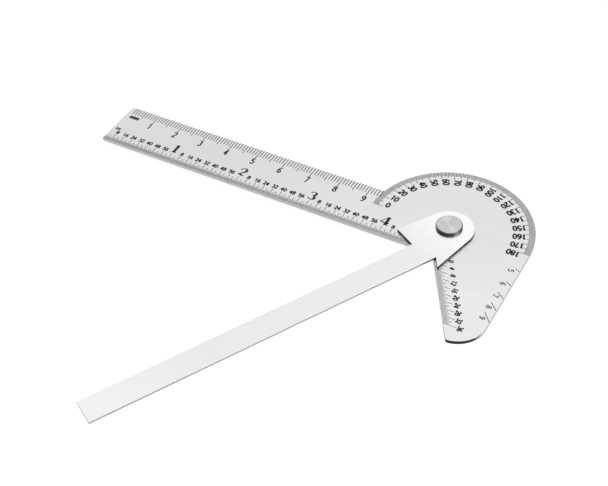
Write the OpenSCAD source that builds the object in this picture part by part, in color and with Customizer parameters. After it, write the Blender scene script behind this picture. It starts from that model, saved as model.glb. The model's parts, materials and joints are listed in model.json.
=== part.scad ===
// Pocket goniometer. One steel sheet is a rule, a half-round protractor and a
// drill point gauge, and a plain arm swings on a rivet at the protractor's centre.
//
// The origin is on the pivot axis, at the outer face of the rivet's tail.
// The rule points along -X, the protractor's round edge faces +Y, and the
// graduated face of the sheet looks along +Z.

/* [Rule] */
// Distance from the pivot axis to the free end of the rule
rule_reach = 120; // [100:1:160]
// Distance from the pivot line up to the metric edge
metric_edge = 6.5; // [4:0.5:9]
// Distance from the pivot line down to the inch edge
inch_edge = 11.5; // [9:0.5:13]
// Thickness of the graduated sheet
plate_t = 1.2; // [0.6:0.1:1.6]

/* [Protractor] */
// Radius of the round edge
protractor_r = 25.75; // [22:0.05:30]

/* [Drill point gauge] */
// Angle between the inch edge and the gauge edge
gauge_angle = 59; // [56:1:61]
// Where the gauge edge leaves the inch edge, right of the pivot axis
gauge_start = -0.25; // [-2:0.25:1]
// Depth of the tip round's centre below the pivot line
tip_depth = 31.8; // [26:0.1:34]
// Radius of the round at the gauge's tip
tip_r = 9.1; // [8.5:0.1:10]

/* [Arm] */
// Distance from the pivot axis to the arm's square end
arm_reach = 122; // [90:1:150]
// Width of the blade, from its reading edge
arm_w = 8.3; // [6:0.1:9]
// Thickness of the arm's sheet
arm_t = 0.7; // [0.5:0.1:1.2]
// Radius of the round head
head_r = 7.6; // [7:0.1:8.5]
// How far the head's round lies off the pivot axis, along and across the arm
head_shift = [0.4, 0.6]; // [-1:0.05:1]
// Distance from the pivot axis to the shoulder
shoulder_reach = 13.5; // [12:0.5:16]
// Distance from the reading edge's line to the shoulder's corner
shoulder_w = 7.9; // [7.5:0.1:9]
// Distance from the pivot axis to the corner of the barb's notch
notch_reach = 10.8; // [9:0.1:12]
// Distance along the arm from the pivot axis to the barb's tip
barb_reach = 12.9; // [11:0.1:14]
// Distance from the reading edge's line to the barb's tip
barb_w = 11.9; // [10:0.1:13]
// Direction of the arm at rest, anticlockwise from +X
arm_angle = -119.65; // [-180:0.05:180]

/* [Pivot] */
// Diameter of the rivet's head
rivet_head_d = 8.2; // [7:0.1:10]
// Height of the rivet's head
rivet_head_h = 1; // [0.8:0.1:1.6]
// Diameter of the rivet's shank
shank_d = 4; // [3:0.1:5]
// Diameter of the formed tail at the back
tail_d = 6; // [5.4:0.1:7]
// Height of the formed tail
tail_h = 0.6; // [0.5:0.1:1]
// Diameter of the flat washer under the tail
washer_d = 7.8; // [7:0.1:10]
// Thickness of the flat washer
washer_t = 0.5; // [0.3:0.1:0.8]
// Diameter of the dished spring washer
spring_d = 7.2; // [6.4:0.1:9]
// Sheet thickness of the spring washer
spring_t = 0.25; // [0.15:0.05:0.4]
// How far the spring washer is still dished when riveted
spring_dish = 0.15; // [0.05:0.05:0.3]

/* [Clearances] */
// Radial clearance of the rivet in the sheet
fixed_gap = 0.02; // [0.01:0.01:0.05]
// Radial clearance of the arm on the rivet
running_gap = 0.05; // [0.02:0.01:0.1]
// Radial clearance of the washers on the rivet
washer_gap = 0.15; // [0.05:0.05:0.3]
// Gap between the arm and the sheet below it
under_gap = 0.03; // [0.02:0.01:0.1]
// Gap between the arm and the rivet's head
over_gap = 0.02; // [0.02:0.01:0.1]

/* [Hidden] */
$fn = 96;
shank_r = shank_d / 2;
head_round = rivet_head_h / 2;
tail_round = tail_h / 2;
margin = 1;

washer_z = tail_h;
spring_z = washer_z + washer_t;
plate_z = spring_z + spring_t + spring_dish;
arm_z = plate_z + plate_t + under_gap;
head_z = arm_z + arm_t + over_gap;

tip_centre = [protractor_r - tip_r, -tip_depth];
tip_bottom = tip_depth + tip_r + margin;
gauge_run = (tip_bottom - inch_edge) / tan(gauge_angle);
barb_tip = [barb_reach, barb_w];
shoulder_tip = [shoulder_reach, -shoulder_w];
// The head's straight sides start this far inside its round, so that they join
side_sink = 0.005;

// The lobe below the protractor, cut along the gauge edge
module gauge_outline() {
    intersection() {
        union() {
            translate([gauge_start, -tip_depth])
                square([protractor_r - gauge_start, tip_depth]);
            translate(tip_centre)
                circle(tip_r);
        }
        polygon([
            [gauge_start, 0],
            [gauge_start, -inch_edge],
            [gauge_start + gauge_run, -tip_bottom],
            [protractor_r + margin, -tip_bottom],
            [protractor_r + margin, 0]
        ]);
    }
}

// The protractor's disc, cut off level with the inch edge
module protractor_outline() {
    intersection() {
        circle(protractor_r);
        translate([-protractor_r, -inch_edge])
            square([2 * protractor_r, inch_edge + protractor_r]);
    }
}

module plate() {
    color("gainsboro")
        translate([0, 0, plate_z])
            linear_extrude(plate_t)
                difference() {
                    union() {
                        translate([-rule_reach, -inch_edge])
                            square([rule_reach, inch_edge + metric_edge]);
                        protractor_outline();
                        gauge_outline();
                    }
                    circle(shank_r + fixed_gap);
                }
}

// Where the straight line from a corner meets the head's round: the point at
// the left of the way to the pivot has side 1, and the one at the right -1
function head_point(corner, side) =
    let (away = corner - head_shift)
    let (turn = atan2(away[1], away[0]) + side * acos(head_r / norm(away)))
    head_shift + (head_r - side_sink) * [cos(turn), sin(turn)];

// The arm along +X: its reading edge lies on the line through the pivot axis,
// with a shoulder on one side and a flared barb on the other
module arm_outline() {
    translate(head_shift)
        circle(head_r);
    polygon([
        head_point(shoulder_tip, -1),
        shoulder_tip,
        [shoulder_reach, 0],
        [arm_reach, 0],
        [arm_reach, arm_w],
        [notch_reach, arm_w],
        barb_tip,
        head_point(barb_tip, 1)
    ]);
}

module arm() {
    color("whitesmoke")
        translate([0, 0, arm_z])
            rotate(arm_angle)
                linear_extrude(arm_t)
                    difference() {
                        arm_outline();
                        circle(shank_r + running_gap);
                    }
}

// A flat button with its upper rim rounded
module button(d, h, rim) {
    rotate_extrude() {
        square([d / 2 - rim, h]);
        square([d / 2, h - rim]);
        translate([d / 2 - rim, h - rim])
            circle(rim);
    }
}

module pivot_rivet() {
    color("silver") {
        translate([0, 0, head_z])
            button(rivet_head_d, rivet_head_h, head_round);
        translate([0, 0, tail_h])
            cylinder(h = head_z - tail_h, r = shank_r);
        translate([0, 0, tail_h])
            mirror([0, 0, 1])
                button(tail_d, tail_h, tail_round);
    }
}

// A dished ring: its outer rim bears on the flat washer and its inner rim on
// the back of the sheet, which keeps the arm stiff to turn
module spring_washer() {
    inner_r = shank_r + washer_gap;
    color("slategray")
        translate([0, 0, spring_z])
            rotate_extrude()
                polygon([
                    [inner_r, spring_dish],
                    [spring_d / 2, 0],
                    [spring_d / 2, spring_t],
                    [inner_r, spring_dish + spring_t]
                ]);
}

module back_washer() {
    color("lightgray")
        translate([0, 0, washer_z])
            linear_extrude(washer_t)
                difference() {
                    circle(washer_d / 2);
                    circle(shank_r + washer_gap);
                }
}

plate();
arm();
pivot_rivet();
spring_washer();
back_washer();
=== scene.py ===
"""Looks of a pocket goniometer: a steel rule and protractor with a plain arm on a rivet.

Outlines, thicknesses and marks are in millimetres, in the CAD model's own frame, and
every mesh is scaled to metres as it is made. The camera, lights and floor are in metres.
"""

import json
import math

import bmesh
import bpy
from mathutils import Euler, Matrix, Vector


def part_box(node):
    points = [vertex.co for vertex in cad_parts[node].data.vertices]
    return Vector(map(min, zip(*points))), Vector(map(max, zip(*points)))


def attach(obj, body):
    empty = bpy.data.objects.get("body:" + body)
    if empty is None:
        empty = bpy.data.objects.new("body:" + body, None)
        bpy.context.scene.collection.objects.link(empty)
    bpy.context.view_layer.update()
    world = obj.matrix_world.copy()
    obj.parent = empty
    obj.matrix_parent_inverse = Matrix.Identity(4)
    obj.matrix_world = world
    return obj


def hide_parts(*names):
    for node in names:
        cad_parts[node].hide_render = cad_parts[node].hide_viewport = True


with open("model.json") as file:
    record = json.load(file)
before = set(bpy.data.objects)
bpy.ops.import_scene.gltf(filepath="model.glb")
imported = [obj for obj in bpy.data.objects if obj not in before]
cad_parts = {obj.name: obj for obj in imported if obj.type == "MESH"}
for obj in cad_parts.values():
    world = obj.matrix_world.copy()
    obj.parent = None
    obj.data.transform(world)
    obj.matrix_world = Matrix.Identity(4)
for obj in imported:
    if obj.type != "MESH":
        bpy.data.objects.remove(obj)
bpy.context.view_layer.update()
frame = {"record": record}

MM = 0.001
INCH = 25.4


def box_mm(node):
    low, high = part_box(node)
    return low / MM, high / MM


def mount_mm(name):
    mounts = frame["record"]["mounts"]
    place = next(mount["pos_m"] for mount in mounts if mount["name"] == name)
    return Vector(place) / MM


# ---------------------------------------------------------------- sizes, mm
plate_low, plate_high = box_mm("plate")
arm_low, arm_high = box_mm("arm")
_, rivet_high = box_mm("pivot_rivet")
spring_low, spring_high = box_mm("spring_washer")
washer_low, washer_high = box_mm("back_washer")

rule_end = plate_low.x
square_edge = plate_high.x
protractor_r = plate_high.y
metric_edge = mount_mm("metric_edge").y
inch_edge = mount_mm("inch_edge").y

gauge_angle = 59
gauge_corner = Vector((-0.25, inch_edge))
tip_r = 9.1
tip_centre = Vector((square_edge - tip_r, plate_low.y + tip_r))
tip_corner_round = 0.9

arm_angle = -119.65
arm_reach = 122
arm_w = 8.3
head_r = 7.6
head_shift = Vector((0.4, 0.6))
shoulder_tip = Vector((13.5, -7.9))
notch_reach = 10.8
barb_tip = Vector((12.9, 11.9))

shank_r = 2
fixed_gap = 0.02
running_gap = 0.05
washer_gap = 0.15
over_gap = 0.02
washer_hole_r = shank_r + washer_gap
head_disc_r = rivet_high.x
head_round = 0.4
head_seat = arm_high.z + over_gap
tail_r = 3
tail_round = 0.3
dimple_r = 1.1
dimple_depth = 0.25
lip = 0.05
spring_dish = 0.15
spring_t = 0.25
spring_chamfer = 0.05
washer_chamfer = 0.08

edge_round = 0.08
corner_round = 0.2
mark_rise = 0.008
mark_sink = 0.02
mark_margin = 0.1


# ---------------------------------------------------------------- outlines
def turn(degrees):
    """The unit vector at this angle, anticlockwise from +X"""
    return Vector((math.cos(math.radians(degrees)), math.sin(math.radians(degrees))))


def left_of(direction):
    """The direction turned a quarter turn anticlockwise"""
    return Vector((-direction.y, direction.x))


def angle_of(vector):
    return math.degrees(math.atan2(vector.y, vector.x))


def arc(centre, radius, start, end, step=1.5):
    """Points along an arc from one angle to another, both ends included"""
    count = max(2, math.ceil(abs(end - start) / step))
    return [centre + radius * turn(start + (end - start) * i / count) for i in range(count + 1)]


def hole(radius):
    """A round hole's edge, clockwise, so that the metal is on its left"""
    return arc(Vector((0, 0)), radius, 360, 0, 4)[:-1]


def rounded(corners):
    """A closed outline from (point, radius) pairs, each corner rounded by its radius"""
    points = [point for point, _ in corners]
    outline = []
    for index, (point, radius) in enumerate(corners):
        if not radius:
            outline.append(point)
            continue
        back = (points[index - 1] - point).normalized()
        ahead = (points[(index + 1) % len(points)] - point).normalized()
        half = back.angle(ahead) / 2
        centre = point + (back + ahead).normalized() * radius / math.sin(half)
        start = angle_of(point + back * radius / math.tan(half) - centre)
        end = angle_of(point + ahead * radius / math.tan(half) - centre)
        sweep = (end - start + 180) % 360 - 180
        outline += arc(centre, radius, start, start + sweep, 20)
    return outline


def plate_outline():
    """The rule, the protractor's round edge and the drill gauge's lobe, anticlockwise"""
    gauge_run = turn(-gauge_angle)
    inward = left_of(gauge_run)
    to_tip = tip_centre - gauge_corner
    reach_up = math.sqrt(
        (tip_r - tip_corner_round) ** 2 - (to_tip.dot(inward) - tip_corner_round) ** 2
    )
    reach = to_tip.dot(gauge_run) + reach_up
    small_centre = gauge_corner + gauge_run * reach + inward * tip_corner_round
    tip_start = angle_of(small_centre - tip_centre)
    rim_end = 180 - math.degrees(math.asin(metric_edge / protractor_r))

    corners = [(Vector((rule_end, inch_edge)), corner_round), (gauge_corner, 0)]
    small_arc = arc(small_centre, tip_corner_round, angle_of(-inward), tip_start, 15)
    tip_arc = arc(tip_centre, tip_r, tip_start, 0)
    rim = arc(Vector((0, 0)), protractor_r, 0, rim_end)
    corners += [(point, 0) for point in small_arc + tip_arc[1:] + rim]
    corners.append((Vector((rule_end, metric_edge)), corner_round))
    return rounded(corners)


def head_turn(corner, side):
    """Angle on the head's round where the straight line from a corner meets it"""
    away = corner - head_shift
    return angle_of(away) + side * math.degrees(math.acos(head_r / away.length))


def arm_outline():
    """The arm's outline, anticlockwise, turned to where it rests"""
    barb_turn, shoulder_turn = head_turn(barb_tip, 1), head_turn(shoulder_tip, -1) + 360
    corners = [(point, 0) for point in arc(head_shift, head_r, barb_turn, shoulder_turn)]
    corners += [
        (shoulder_tip, corner_round),
        (Vector((shoulder_tip.x, 0)), corner_round),
        (Vector((arm_reach, 0)), corner_round),
        (Vector((arm_reach, arm_w)), corner_round),
        (Vector((notch_reach, arm_w)), corner_round),
        (barb_tip, corner_round / 2),
    ]
    swing = Matrix.Rotation(math.radians(arm_angle), 2)
    return [swing @ point for point in rounded(corners)]


# ---------------------------------------------------------------- meshes
def inset(loop, distance):
    """The closed loop moved to its left, into the metal, with mitred corners"""
    moved = []
    for index, point in enumerate(loop):
        behind = left_of(point - loop[index - 1]).normalized()
        ahead = left_of(loop[(index + 1) % len(loop)] - point).normalized()
        mitre = (behind + ahead).normalized()
        moved.append(point + mitre * distance / mitre.dot(ahead))
    return moved


def sheet_levels(low, high, rounding, steps=3):
    """(inset, height) pairs up the side of a sheet whose edges are rounded"""
    turns = [turn(90 * step / steps) for step in range(steps + 1)]
    lower = [(rounding * (1 - t.y), low + rounding * (1 - t.x)) for t in turns]
    upper = [(inward, low + high - height) for inward, height in reversed(lower)]
    return lower + upper


def sheet_mesh(outer, inner, low, high):
    """A closed sheet with one hole, whose edges are rounded all round"""
    mesh = bmesh.new()
    levels = sheet_levels(low, high, edge_round)
    rims = {0: [], len(levels) - 1: []}
    for loop in (outer, inner):
        rings = []
        for inward, height in levels:
            flat = inset(loop, inward)
            rings.append([mesh.verts.new((point.x, point.y, height)) for point in flat])
        for below, above in zip(rings, rings[1:]):
            for i in range(len(loop)):
                following = (i + 1) % len(loop)
                mesh.faces.new((below[i], below[following], above[following], above[i]))
        for level, edges in rims.items():
            ring = rings[level]
            edges += [mesh.edges.get((ring[i - 1], ring[i])) for i in range(len(ring))]
    for level, edges in rims.items():
        normal = (0, 0, 1 if level else -1)
        bmesh.ops.triangle_fill(mesh, edges=edges, use_beauty=False, normal=normal)
    bmesh.ops.recalc_face_normals(mesh, faces=mesh.faces)
    return mesh


def lathe_mesh(profile, closed, steps=120):
    """The (radius, height) profile turned round the pivot axis"""
    mesh = bmesh.new()
    rings = []
    for radius, height in profile:
        if radius == 0:
            rings.append([mesh.verts.new((0, 0, height))] * steps)
            continue
        spokes = [radius * turn(360 * i / steps) for i in range(steps)]
        rings.append([mesh.verts.new((spoke.x, spoke.y, height)) for spoke in spokes])
    following = rings[1:] + rings[:1] if closed else rings[1:]
    for below, above in zip(rings, following):
        for i in range(steps):
            around = (below[i - 1], below[i], above[i], above[i - 1])
            mesh.faces.new(tuple(dict.fromkeys(around)))
    bmesh.ops.recalc_face_normals(mesh, faces=mesh.faces)
    return mesh


def quarter(centre_r, centre_z, radius, start, end, steps=6):
    """Profile points round a quarter turn of a rounded rim"""
    turns = [turn(start + (end - start) * i / steps) for i in range(steps + 1)]
    return [(centre_r + radius * t.x, centre_z + radius * t.y) for t in turns]


def ring_profile(inner, outer, low, thickness, dish, chamfer):
    """A flat or dished ring's section, with its four edges broken"""
    return [
        (inner, low + dish + chamfer),
        (inner + chamfer, low + dish),
        (outer - chamfer, low),
        (outer, low + chamfer),
        (outer, low + thickness - chamfer),
        (outer - chamfer, low + thickness),
        (inner + chamfer, low + dish + thickness),
        (inner, low + dish + thickness - chamfer),
    ]


def rivet_profile():
    """From the dimple in the formed tail, up the shank, to the middle of the head"""
    tail_top = washer_low.z
    return [
        (0, dimple_depth),
        (dimple_r * 0.35, dimple_depth * 0.9),
        (dimple_r * 0.9, dimple_depth * 0.1),
        (dimple_r, 0),
        *quarter(tail_r - tail_round, tail_round, tail_round, -90, 0),
        (tail_r, tail_top - lip),
        (tail_r - lip, tail_top),
        (shank_r, tail_top),
        (shank_r, head_seat),
        (head_disc_r - lip, head_seat),
        (head_disc_r, head_seat + lip),
        *quarter(head_disc_r - head_round, rivet_high.z - head_round, head_round, 0, 90),
        (0, rivet_high.z),
    ]


def shade(mesh):
    """Smooth shading round curves, which stops at sharp edges and at flat faces"""
    for face in mesh.faces:
        face.smooth = abs(face.normal.z) < 0.9999
    for edge in mesh.edges:
        edge.smooth = edge.calc_face_angle(0.0) < math.radians(35)


def add_piece(name, mesh, materials, body, stands_for=None):
    """Makes the mesh, drawn in millimetres, a piece in metres that rides on a body"""
    shade(mesh)
    bmesh.ops.scale(mesh, vec=(MM, MM, MM), verts=mesh.verts)
    data = bpy.data.meshes.new(name)
    mesh.to_mesh(data)
    mesh.free()
    for material in materials:
        data.materials.append(material)
    piece = bpy.data.objects.new(name, data)
    bpy.context.scene.collection.objects.link(piece)
    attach(piece, body)
    if stands_for:
        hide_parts(stands_for)


# ---------------------------------------------------------------- characters
def bend(centre_x, centre_y, radius_x, radius_y, start, end):
    """Points along a part of an ellipse"""
    spokes = [turn(start + (end - start) * index / 14) for index in range(15)]
    return [(centre_x + radius_x * s.x, centre_y + radius_y * s.y) for s in spokes]


# Strokes of the plain characters: (x, y) from the middle, with x in shares of the
# character's width and y in shares of its height
PLAIN_WIDTH = 1.45
PLAIN = {
    "0": [bend(0, 0, 0.25, 0.43, 0, 360)],
    "1": [[(0.04, -0.5), (0.04, 0.5)], [(-0.16, 0.3), (0.04, 0.45)]],
    "2": [
        bend(0, 0.2, 0.24, 0.23, 165, -30) + [(-0.24, -0.42)],
        [(-0.28, -0.43), (0.28, -0.43)],
    ],
    "3": [bend(-0.02, 0.23, 0.22, 0.2, 150, -90), bend(-0.02, -0.19, 0.25, 0.24, 90, -150)],
    "4": [[(0.12, -0.5), (0.12, 0.5)], [(0.1, 0.44), (-0.26, -0.18)], [(-0.31, -0.2), (0.31, -0.2)]],
    "5": [
        [(-0.22, 0.43), (0.24, 0.43)],
        [(-0.17, 0.45), (-0.2, 0.02)],
        bend(-0.02, -0.16, 0.26, 0.27, 130, -150),
    ],
    "6": [bend(0, -0.19, 0.24, 0.24, 0, 360), bend(0.16, -0.17, 0.4, 0.6, 180, 80)],
    "7": [[(-0.28, 0.43), (0.29, 0.43)], [(0.24, 0.4), (-0.08, -0.5)]],
    "8": [bend(0, 0.23, 0.2, 0.19, 0, 360), bend(0, -0.2, 0.25, 0.23, 0, 360)],
    "9": [bend(0, 0.19, 0.24, 0.24, 0, 360), bend(-0.16, 0.17, 0.4, 0.6, 0, -100)],
    "m": [
        [(-0.32, -0.5), (-0.32, 0.3)],
        bend(-0.16, 0.08, 0.16, 0.18, 180, 0) + [(0, -0.5)],
        bend(0.16, 0.08, 0.16, 0.18, 180, 0) + [(0.32, -0.5)],
    ],
}


def bow(centre_x, centre_y, radius_x, radius_y, start, end, thin, thick):
    """A curved stroke that is thick at its sides and thin at its top and bottom"""
    stroke = []
    for index in range(13):
        spoke = turn(start + (end - start) * index / 12)
        width = thin + (thick - thin) * max(0, spoke.x) ** 2
        stroke.append((centre_x + radius_x * spoke.x, centre_y + radius_y * spoke.y, width))
    return stroke


# Strokes of the inch numerals: (x, y, width) in shares of the height, from the middle
INCH_NUMERALS = {
    1: [
        [(0, -0.5, 0.27), (0, 0.5, 0.27)],
        [(-0.22, 0.35, 0.05), (-0.02, 0.47, 0.12)],
        [(-0.24, -0.46, 0.09), (0.24, -0.46, 0.09)],
    ],
    2: [
        bow(0, 0.2, 0.25, 0.26, 170, -30, 0.08, 0.26),
        [(0.21, 0.08, 0.19), (0.02, -0.16, 0.11), (-0.26, -0.4, 0.07)],
        [(-0.27, -0.42, 0.1), (-0.08, -0.36, 0.18), (0.12, -0.44, 0.18), (0.28, -0.42, 0.07)],
        [(-0.31, 0.22, 0.03), (-0.24, 0.2, 0.16), (-0.17, 0.22, 0.03)],
    ],
    3: [
        bow(-0.02, 0.25, 0.23, 0.21, 160, -90, 0.08, 0.25),
        bow(-0.02, -0.22, 0.27, 0.24, 90, -160, 0.08, 0.27),
        [(-0.32, -0.33, 0.03), (-0.25, -0.34, 0.16), (-0.18, -0.33, 0.03)],
        [(-0.29, 0.3, 0.03), (-0.22, 0.31, 0.15), (-0.15, 0.3, 0.03)],
    ],
    4: [
        [(0.12, -0.5, 0.26), (0.12, 0.5, 0.26)],
        [(0.06, 0.46, 0.08), (-0.38, -0.2, 0.08)],
        [(-0.42, -0.23, 0.12), (0.36, -0.23, 0.12)],
        [(-0.1, -0.46, 0.08), (0.34, -0.46, 0.08)],
    ],
}


# ---------------------------------------------------------------- marks
class Marks:
    """Etched marks on the plate's face, gathered in one mesh of closed slabs"""

    def __init__(self):
        self.mesh = bmesh.new()

    def slab(self, points, faces):
        """Gives flat faces the marks' thickness"""
        low = plate_high.z - mark_sink
        high = plate_high.z + mark_rise
        bottom = [self.mesh.verts.new((point.x, point.y, low)) for point in points]
        top = [self.mesh.verts.new((point.x, point.y, high)) for point in points]
        sides = {}
        for face in faces:
            self.mesh.faces.new([top[i] for i in face])
            self.mesh.faces.new([bottom[i] for i in reversed(face)])
            for start, end in zip(face, face[1:] + face[:1]):
                sides[start, end] = (bottom[start], bottom[end], top[end], top[start])
        for (start, end), side in sides.items():
            if (end, start) not in sides:
                self.mesh.faces.new(side)

    def line(self, start, end, width):
        """A straight mark with square ends"""
        aside = left_of((end - start).normalized()) * width / 2
        self.slab([start - aside, end - aside, end + aside, start + aside], [(0, 1, 2, 3)])

    def stroke(self, path):
        """A mark along a path of (point, width) pairs, with square ends or closed"""
        closed = (path[0][0] - path[-1][0]).length < 0.001
        if closed:
            path = path[:-1]
        sides = []
        for index, (point, width) in enumerate(path):
            before = path[index - 1 if closed else max(index - 1, 0)][0]
            after = path[(index + 1) % len(path) if closed else min(index + 1, len(path) - 1)][0]
            aside = left_of((after - before).normalized()) * width / 2
            sides += [point - aside, point + aside]
        steps = range(len(path) if closed else len(path) - 1)
        corners = [(2 * i, 2 * ((i + 1) % len(path))) for i in steps]
        self.slab(sides, [(here, there, there + 1, here + 1) for here, there in corners])

    def numeral(self, digit, centre, height):
        """One of the inch scale's large numerals, with thick stems and thin serifs"""
        for path in INCH_NUMERALS[digit]:
            self.stroke([(centre + Vector((x, y)) * height, w * height) for x, y, w in path])

    def text(self, text, centre, heading, height, advance, width):
        """A row of plain characters that reads along the heading, in degrees"""
        along, up = turn(heading), left_of(turn(heading))
        first = centre - along * advance * (len(text) - 1) / 2
        across = along * advance * PLAIN_WIDTH
        for index, character in enumerate(text):
            middle = first + along * advance * index
            for path in PLAIN[character]:
                placed = [middle + across * x + up * height * y for x, y in path]
                self.stroke([(point, width) for point in placed])

    def piece(self, name):
        """Makes the gathered marks one piece that rides on the plate"""
        bmesh.ops.recalc_face_normals(self.mesh, faces=self.mesh.faces)
        add_piece(name, self.mesh, [black_etch], "plate_body")


def tick_size(number, sizes):
    """The size for the largest step that divides this tick's number"""
    return next(size for step, size in sizes if number % step == 0)


# Places, lengths and widths are in mm. Lengths and widths that vary are (step, size)
# pairs, the largest step first. Each text value is its characters' height, the advance
# from one to the next, and the width of their strokes.
metric_zero = -119.1
metric_ticks = 94
metric_lengths = ((10, 4.6), (5, 4.0), (1, 3.1))
metric_width = 0.25
metric_label_y = 0.4
metric_text = (2.7, 1.35, 0.5)
metric_unit_place = Vector((metric_zero + 2.8, metric_edge - 4.7))
metric_unit_text = (1.4, 1.6, 0.62)

inch_zero = rule_end
inch_ticks = 296
inch_last_label = 264
inch_lengths = ((8, 3.5), (4, 2.6), (2, 1.8), (1, 1.3))
inch_widths = ((2, 0.19), (1, 0.22))
inch_small_y = -6.95
inch_small_text = (1.5, 1.05, 0.42)
inch_big_y = -5.45
inch_big_height = 3.75
inch_unit_place = Vector((rule_end + 2.1, -5.2))
inch_unit_text = (1.1, 0.85, 0.34)

degree_lengths = ((10, 3.4), (5, 2.6), (1, 2.0))
degree_width = 0.2
degree_label_r = 20.95
degree_label_aside = 1.1
degree_text = (2.2, 1.38, 0.57)

# The gauge's labels come nearer to its edge with every tick, by the lean
gauge_first = 1.15
gauge_pitch = 0.373
gauge_ticks = 72
gauge_lengths = ((8, 4.1), (4, 2.9), (2, 2.2), (1, 1.6))
gauge_widths = ((2, 0.17), (1, 0.08))
gauge_label_reach = 5.95
gauge_label_lean = 0.0095
gauge_text = (1.6, 1.0, 0.42)

# The divider's lines all point at one place, this rise up the plate from the pivot
divider_counts = range(5, 10)
divider_rise = 0.9
divider_length = 1.6
divider_longer = 0.67
divider_width = 0.22
divider_label_x = 23.2
divider_label_gap = 1.35
divider_text = (1.8, 1.25, 0.3)


def metric_scale():
    """Millimetres, with a number at each centimetre"""
    marks = Marks()
    for number in range(1, metric_ticks + 1):
        x = metric_zero + number
        bottom = metric_edge - tick_size(number, metric_lengths)
        marks.line(Vector((x, metric_edge - mark_margin)), Vector((x, bottom)), metric_width)
    for number in range(1, metric_ticks // 10 + 1):
        centre = Vector((metric_zero + 10 * number, metric_label_y))
        marks.text(str(number), centre, 0, *metric_text)
    marks.text("mm", metric_unit_place, 0, *metric_unit_text)
    marks.piece("metric_scale")


def inch_scale():
    """Sixty-fourths of an inch, with a small number at each eighth and a large one at each inch"""
    marks = Marks()
    for number in range(1, inch_ticks + 1):
        x = inch_zero + number * INCH / 64
        foot = Vector((x, inch_edge + mark_margin))
        top = Vector((x, inch_edge + tick_size(number, inch_lengths)))
        marks.line(foot, top, tick_size(number, inch_widths))
        if number % 64 == 0:
            marks.numeral(number // 64, Vector((x, inch_big_y)), inch_big_height)
        elif number % 8 == 0 and number <= inch_last_label:
            marks.text(str(number % 64), Vector((x, inch_small_y)), 0, *inch_small_text)
    marks.text("64", inch_unit_place, 0, *inch_unit_text)
    marks.piece("inch_scale")


def degree_scale():
    """Degrees from the rule's side round to the gauge's, with a number at every tenth"""
    marks = Marks()
    for number in range(181):
        spoke = turn(180 - number)
        inner = protractor_r - tick_size(number, degree_lengths)
        marks.line(spoke * (protractor_r - mark_margin), spoke * inner, degree_width)
        if number % 10 == 0:
            centre = spoke * degree_label_r - left_of(spoke) * degree_label_aside
            marks.text(str(number), centre, -number, *degree_text)
    marks.piece("degree_scale")


def gauge_scale():
    """Ticks along +X from the gauge edge, with a number at every eighth that counts pairs"""
    marks = Marks()
    along = turn(-gauge_angle)
    start = Vector((mark_margin / math.sin(math.radians(gauge_angle)), 0))
    for number in range(gauge_ticks + 1):
        foot = gauge_corner + along * (gauge_first + number * gauge_pitch)
        end = foot + Vector((tick_size(number, gauge_lengths), 0))
        marks.line(foot + start, end, tick_size(number, gauge_widths))
        if number % 8 == 0:
            reach = gauge_label_reach - gauge_label_lean * number
            marks.text(str(number // 2), foot + Vector((reach, 0)), -90, *gauge_text)
    marks.piece("gauge_scale")


def circle_divider():
    """Lines at the slopes that divide a circle into 5 to 9 parts"""
    marks = Marks()
    for count in divider_counts:
        slope = turn(360 / count - 90)
        crossing = Vector((0, divider_rise))
        outer = crossing + slope * (square_edge - mark_margin) / slope.x
        length = divider_length + divider_longer * (count - divider_counts[0])
        marks.line(outer, outer - slope * length, divider_width)
        beside = crossing + slope * divider_label_x / slope.x
        centre = beside - Vector((0, divider_label_gap / slope.x))
        marks.text(str(count), centre, -90, *divider_text)
    marks.piece("circle_divider")


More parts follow.
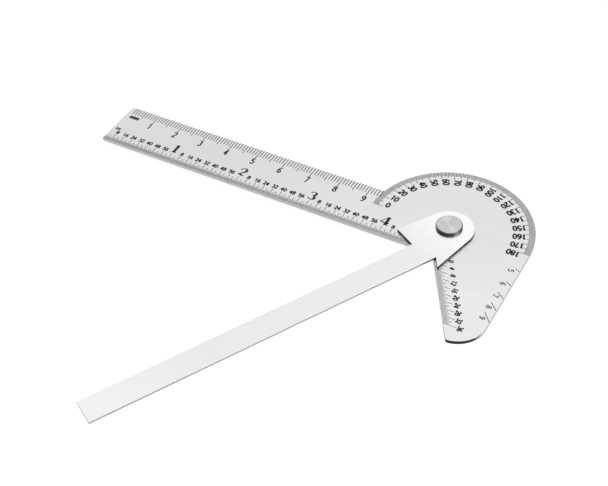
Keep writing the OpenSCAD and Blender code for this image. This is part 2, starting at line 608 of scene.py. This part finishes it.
# ---------------------------------------------------------------- materials
class Nodes:
    """A material's nodes, made and linked by short calls"""

    def __init__(self, name):
        self.material = bpy.data.materials.new(name)
        self.material.use_nodes = True
        self.tree = self.material.node_tree
        self.shader = self.tree.nodes["Principled BSDF"]

    def link(self, source, target):
        self.tree.links.new(source, target)

    def node(self, kind, **values):
        """A node whose sockets take the values or links given by name"""
        made = self.tree.nodes.new(kind)
        for key, value in values.items():
            socket = made.inputs[key.replace("_", " ")]
            if isinstance(value, bpy.types.NodeSocket):
                self.link(value, socket)
            else:
                socket.default_value = value
        return made

    def object_place(self, scale, angle=0.0):
        """Object coordinates, turned so that their X lies along the grain, and scaled"""
        place = self.node("ShaderNodeTexCoord").outputs["Object"]
        spun = self.node("ShaderNodeMapping", Vector=place, Rotation=Euler((0, 0, -angle)))
        sized = self.node("ShaderNodeMapping", Vector=spun.outputs[0], Scale=Vector(scale))
        return sized.outputs[0]

    def noise(self, place, detail=3.0, roughness=0.55):
        made = self.node(
            "ShaderNodeTexNoise", Vector=place, Scale=1.0, Detail=detail, Roughness=roughness
        )
        return made.outputs["Fac"]

    def span(self, value, low, high, start=0.3, end=0.7):
        """Maps a value from start..end to low..high"""
        made = self.node(
            "ShaderNodeMapRange",
            Value=value,
            From_Min=start,
            From_Max=end,
            To_Min=low,
            To_Max=high,
        )
        return made.outputs[0]

    def maths(self, operation, first, second):
        made = self.tree.nodes.new("ShaderNodeMath")
        made.operation = operation
        for socket, value in zip(made.inputs, (first, second)):
            if isinstance(value, bpy.types.NodeSocket):
                self.link(value, socket)
            else:
                socket.default_value = value
        return made.outputs[0]

    def mix(self, factor, first, second, blend="MIX"):
        """A colour between two, by the factor, or their product"""
        made = self.tree.nodes.new("ShaderNodeMix")
        made.data_type = "RGBA"
        made.blend_type = blend
        for name, value in (("Factor_Float", factor), ("A_Color", first), ("B_Color", second)):
            socket = next(s for s in made.inputs if s.identifier == name)
            if isinstance(value, bpy.types.NodeSocket):
                self.link(value, socket)
            else:
                socket.default_value = value
        return next(s for s in made.outputs if s.identifier == "Result_Color")

    def bump(self, height, distance, strength=1.0):
        made = self.node("ShaderNodeBump", Height=height, Strength=strength, Distance=distance)
        self.link(made.outputs[0], self.shader.inputs["Normal"])

    def along(self, direction, start, end):
        """0 up to the start along a direction, in mm from the pivot, and 1 past the end"""
        place = self.node("ShaderNodeTexCoord").outputs["Object"]
        reach = self.tree.nodes.new("ShaderNodeVectorMath")
        reach.operation = "DOT_PRODUCT"
        self.link(place, reach.inputs[0])
        reach.inputs[1].default_value = direction.to_3d()
        return self.span(reach.outputs["Value"], 0.0, 1.0, start * MM, end * MM)

    def graded(self, direction, stops):
        """Greys that pass through (reach, tone) stops along a direction, in mm"""
        start, end = stops[0][0], stops[-1][0]
        made = self.tree.nodes.new("ShaderNodeValToRGB")
        self.link(self.along(direction, start, end), made.inputs["Fac"])
        elements = made.color_ramp.elements
        elements[0].color = grey(stops[0][1])
        elements[1].color = grey(stops[-1][1])
        for reach, tone in stops[1:-1]:
            elements.new((reach - start) / (end - start)).color = grey(tone)
        return made.outputs["Color"]

    def sides(self):
        """1 on a sheet's side faces and 0 on its flat faces"""
        normal = self.node("ShaderNodeTexCoord").outputs["Normal"]
        split = self.node("ShaderNodeSeparateXYZ", Vector=normal)
        upright = self.maths("ABSOLUTE", split.outputs["Z"], 0.0)
        return self.span(upright, 1.0, 0.0, 0.35, 0.8)


def grey(level, warmth=0.0):
    """A near neutral colour, a little warmer where warmth is above zero"""
    return (level + warmth, level, level - warmth, 1.0)


def sheet_steel(name, angle, spread, roughness, face_painted_shading, side_painted_shade):
    """Rolled stainless sheet: fine grain along its length, faint clouds, sheared sides, painted
    shading

    Each grade is a direction and the (reach, tone) stops along it: painted shading on the faces and
    painted shade on the sides, which stand in for how the light falls and for dark reflections. Each
    noise has its number of waves a metre along the grain and the two ways across it.
    """
    grain_waves = (90, 5200, 5200)
    streak_waves = (14, 620, 620)
    cloud_waves = (55, 70, 70)
    shear_waves = (2600, 2600, 700)
    nodes = Nodes(name)
    grain = nodes.noise(nodes.object_place(grain_waves, angle), 4.0, 0.7)
    streaks = nodes.noise(nodes.object_place(streak_waves, angle), 3.0)
    clouds = nodes.noise(nodes.object_place(cloud_waves, angle), 2.0)
    blend = nodes.maths("MULTIPLY", nodes.maths("ADD", grain, streaks), 0.5)
    grained = nodes.span(blend, 1 - spread, 1 + spread)
    cloudy = nodes.maths("MULTIPLY", grained, nodes.span(clouds, 1.0, 1 - spread / 2))
    # The faces' base colour carries painted shading, graded along a direction
    face = nodes.mix(1.0, nodes.graded(*face_painted_shading), cloudy, "MULTIPLY")
    sheared = nodes.noise(nodes.object_place(shear_waves), 4.0)
    rubbed = nodes.span(sheared, 1.0, 0.8)
    # The sides' base colour carries painted shade, graded along a direction, standing in for dark
    # reflections
    side = nodes.mix(1.0, nodes.graded(*side_painted_shade), rubbed, "MULTIPLY")
    nodes.link(nodes.mix(nodes.sides(), face, side), nodes.shader.inputs["Base Color"])
    rough = nodes.span(blend, roughness - spread, roughness + spread)
    nodes.link(rough, nodes.shader.inputs["Roughness"])
    nodes.shader.inputs["Metallic"].default_value = 1.0
    nodes.bump(grain, spread * 0.00005)
    return nodes.material


def turned_steel(name, tone, roughness, anisotropy):
    """Steel faced on a lathe: fine rings round the pivot, and glints across them"""
    nodes = Nodes(name)
    place = nodes.node("ShaderNodeTexCoord").outputs["Object"]
    split = nodes.node("ShaderNodeSeparateXYZ", Vector=place)
    flat = nodes.node("ShaderNodeCombineXYZ", X=split.outputs["X"], Y=split.outputs["Y"])
    radius = nodes.node("ShaderNodeVectorMath", Vector=flat.outputs[0])
    radius.operation = "LENGTH"
    spread = nodes.maths("MULTIPLY", radius.outputs["Value"], 9000.0)
    ring_place = nodes.node("ShaderNodeCombineXYZ", X=spread)
    rings = nodes.noise(ring_place.outputs[0], 3.0, 0.7)
    clouds = nodes.noise(nodes.object_place((500, 500, 500)), 3.0)
    blend = nodes.maths("MULTIPLY", nodes.maths("ADD", rings, clouds), 0.5)
    face = nodes.mix(nodes.span(blend, 0.0, 1.0), grey(tone * 0.9), grey(tone * 1.06))
    nodes.link(face, nodes.shader.inputs["Base Color"])
    rough = nodes.span(rings, roughness - 0.04, roughness + 0.06)
    nodes.link(rough, nodes.shader.inputs["Roughness"])
    nodes.shader.inputs["Metallic"].default_value = 1.0
    nodes.shader.inputs["Anisotropic"].default_value = anisotropy
    nodes.shader.inputs["Anisotropic Rotation"].default_value = 0.25
    tangent = nodes.node("ShaderNodeTangent")
    tangent.direction_type = "RADIAL"
    tangent.axis = "Z"
    nodes.link(tangent.outputs[0], nodes.shader.inputs["Tangent"])
    nodes.bump(rings, 0.000003)
    return nodes.material


def smooth_steel(name, dark, light, roughness, scale):
    """Steel without a grain, tumbled or polished, with faint blotches"""
    nodes = Nodes(name)
    blotches = nodes.noise(nodes.object_place((scale, scale, scale)), 4.0)
    face = nodes.mix(nodes.span(blotches, 0.0, 1.0), dark, light)
    nodes.link(face, nodes.shader.inputs["Base Color"])
    rough = nodes.span(blotches, roughness * 0.8, roughness * 1.3)
    nodes.link(rough, nodes.shader.inputs["Roughness"])
    nodes.shader.inputs["Metallic"].default_value = 1.0
    nodes.bump(blotches, 0.000001)
    return nodes.material


def etch_black(name):
    """Matt black stain in the etched marks, a little uneven"""
    nodes = Nodes(name)
    uneven = nodes.noise(nodes.object_place((2500, 2500, 2500)), 3.0)
    face = nodes.mix(nodes.span(uneven, 0.0, 1.0), grey(0.006), grey(0.028))
    nodes.link(face, nodes.shader.inputs["Base Color"])
    nodes.link(nodes.span(uneven, 0.45, 0.65), nodes.shader.inputs["Roughness"])
    nodes.shader.inputs["Specular IOR Level"].default_value = 0.25
    return nodes.material


# ---------------------------------------------------------------- studio, m
def make_camera():
    """Looks down on the sheet from over the arm's side, with the right side dipped"""
    aim = Vector((-0.03595, -0.02511, plate_high.z * MM))
    azimuth, elevation, roll = (math.radians(angle) for angle in (-58.55, 44.17, -3.29))
    distance = 0.37252
    outward = Vector(
        (
            math.cos(elevation) * math.cos(azimuth),
            math.cos(elevation) * math.sin(azimuth),
            math.sin(elevation),
        )
    )
    data = bpy.data.cameras.new("camera")
    data.lens = 73.8
    data.clip_start = 0.01
    camera = bpy.data.objects.new("camera", data)
    bpy.context.scene.collection.objects.link(camera)
    camera.rotation_mode = "QUATERNION"
    level = (-outward).to_track_quat("-Z", "Y")
    camera.rotation_quaternion = level @ Euler((0, 0, roll)).to_quaternion()
    camera.location = aim + outward * distance
    bpy.context.scene.camera = camera


def make_softbox(name, place, size, power):
    """A square area light aimed at the pivot"""
    data = bpy.data.lights.new(name, "AREA")
    data.size = size
    data.energy = power
    light = bpy.data.objects.new(name, data)
    bpy.context.scene.collection.objects.link(light)
    light.location = place
    light.rotation_mode = "QUATERNION"
    light.rotation_quaternion = Vector(place).to_track_quat("Z", "Y")


def make_floor():
    """A plain pale table under the rivet's tail, faintly lit from within"""
    half = 3.0
    depth = -0.00002
    mesh = bmesh.new()
    corners = ((-half, -half), (half, -half), (half, half), (-half, half))
    mesh.faces.new([mesh.verts.new((x, y, depth)) for x, y in corners])
    data = bpy.data.meshes.new("floor")
    mesh.to_mesh(data)
    mesh.free()
    nodes = Nodes("floor")
    faint = nodes.noise(nodes.object_place((3, 3, 3)), 2.0)
    pale = nodes.mix(nodes.span(faint, 0.0, 1.0), grey(0.38), grey(0.4))
    nodes.link(pale, nodes.shader.inputs["Base Color"])
    nodes.shader.inputs["Emission Color"].default_value = grey(1.0)
    nodes.shader.inputs["Emission Strength"].default_value = 0.8
    nodes.shader.inputs["Roughness"].default_value = 0.9
    nodes.shader.inputs["Specular IOR Level"].default_value = 0.1
    data.materials.append(nodes.material)
    floor = bpy.data.objects.new("floor", data)
    bpy.context.scene.collection.objects.link(floor)


def make_world(overhead, horizon, fade_start, fade_end):
    """A dome that fades from white round the horizon to dim overhead

    The fade starts and ends at these sines of the elevation.
    """
    world = bpy.data.worlds.new("studio")
    world.use_nodes = True
    tree = world.node_tree
    direction = tree.nodes.new("ShaderNodeTexCoord").outputs["Generated"]
    split = tree.nodes.new("ShaderNodeSeparateXYZ")
    tree.links.new(direction, split.inputs[0])
    fade = tree.nodes.new("ShaderNodeMapRange")
    tree.links.new(split.outputs["Z"], fade.inputs["Value"])
    fade.inputs["From Min"].default_value = fade_start
    fade.inputs["From Max"].default_value = fade_end
    fade.inputs["To Min"].default_value = horizon
    fade.inputs["To Max"].default_value = overhead
    tree.links.new(fade.outputs[0], tree.nodes["Background"].inputs["Strength"])
    tree.nodes["Background"].inputs["Color"].default_value = (1, 1, 1, 1)
    bpy.context.scene.world = world
    bpy.context.scene.view_settings.view_transform = "Standard"


# ---------------------------------------------------------------- pieces
def steel_plate():
    mesh = sheet_mesh(plate_outline(), hole(shank_r + fixed_gap), plate_low.z, plate_high.z)
    add_piece("steel_plate", mesh, [satin_steel], "plate_body", "plate")


def steel_arm():
    mesh = sheet_mesh(arm_outline(), hole(shank_r + running_gap), arm_low.z, arm_high.z)
    add_piece("steel_arm", mesh, [plain_steel], "arm_body", "arm")


def rivet():
    """Polished all over, with its flat faces turned"""
    mesh = lathe_mesh(rivet_profile(), closed=False)
    for face in mesh.faces:
        face.material_index = 1 if abs(face.normal.z) > 0.99 else 0
    # The rivet's curved wall takes the polished steel, whose dark base colour is painted shade
    metals = [polished_steel, faced_steel]
    add_piece("rivet", mesh, metals, "plate_body", "pivot_rivet")


def dished_spring_washer():
    section = ring_profile(
        washer_hole_r, spring_high.x, spring_low.z, spring_t, spring_dish, spring_chamfer
    )
    mesh = lathe_mesh(section, closed=True)
    add_piece(
        "dished_spring_washer", mesh, [spring_steel], "plate_body", "spring_washer"
    )


def flat_washer():
    thickness = washer_high.z - washer_low.z
    section = ring_profile(washer_hole_r, washer_high.x, washer_low.z, thickness, 0, washer_chamfer)
    mesh = lathe_mesh(section, closed=True)
    add_piece("flat_washer", mesh, [zinc_steel], "plate_body", "back_washer")


# ---------------------------------------------------------------- the scene
make_camera()
make_floor()
make_world(0.08, 0.9, 0.15, 0.6)
make_softbox("far_softbox", (-0.36, 0.56, 0.64), 1.1, 4.03)
make_softbox("top_softbox", (0.22, -0.1, 1.2), 1.25, 5.4)
make_softbox("right_softbox", (0.72, 0.06, 0.7), 0.7, 3.1)

# Painted shading in the sheets' base colours: lighter and darker greys on their faces for how the
# light falls, and dark greys on their sides, near black at the lobe's tip and at the arm's head, as
# painted shade for dark reflections. Each is a direction, and (reach, tone) stops along it
plate_face_painted_shading = (Vector((0.6, -0.8)), ((-45, 0.61), (-18, 0.66), (5, 0.665), (34, 0.725)))
plate_side_painted_shade = (Vector((0, -1)), ((34.0, 0.5), (37.0, 0.03)))
arm_face_painted_shading = (turn(arm_angle), ((2, 0.825), (14, 0.73), (85, 0.73), (118, 0.8)))
arm_side_painted_shade = (turn(arm_angle), ((13.6, 0.02), (16.5, 0.3), (60, 0.4)))
satin_steel = sheet_steel("satin_steel", 0.0, 0.04, 0.34, plate_face_painted_shading, plate_side_painted_shade)
arm_grain = math.radians(arm_angle)
plain_steel = sheet_steel("plain_steel", arm_grain, 0.012, 0.27, arm_face_painted_shading, arm_side_painted_shade)
faced_steel = turned_steel("faced_steel", 0.58, 0.4, 0.8)
# The polished steel's base colour is painted darker than real polished steel: painted shade that
# stands in for the dark reflections round the rivet head's wall
polished_steel = smooth_steel("polished_steel", grey(0.13), grey(0.2), 0.12, 700)
zinc_steel = smooth_steel("zinc_steel", grey(0.42, 0.01), grey(0.55), 0.32, 900)
spring_steel = smooth_steel("spring_steel", grey(0.1, -0.01), grey(0.2), 0.38, 1200)
black_etch = etch_black("black_etch")

steel_plate()
steel_arm()
rivet()
dished_spring_washer()
flat_washer()
metric_scale()
inch_scale()
degree_scale()
gauge_scale()
circle_divider()
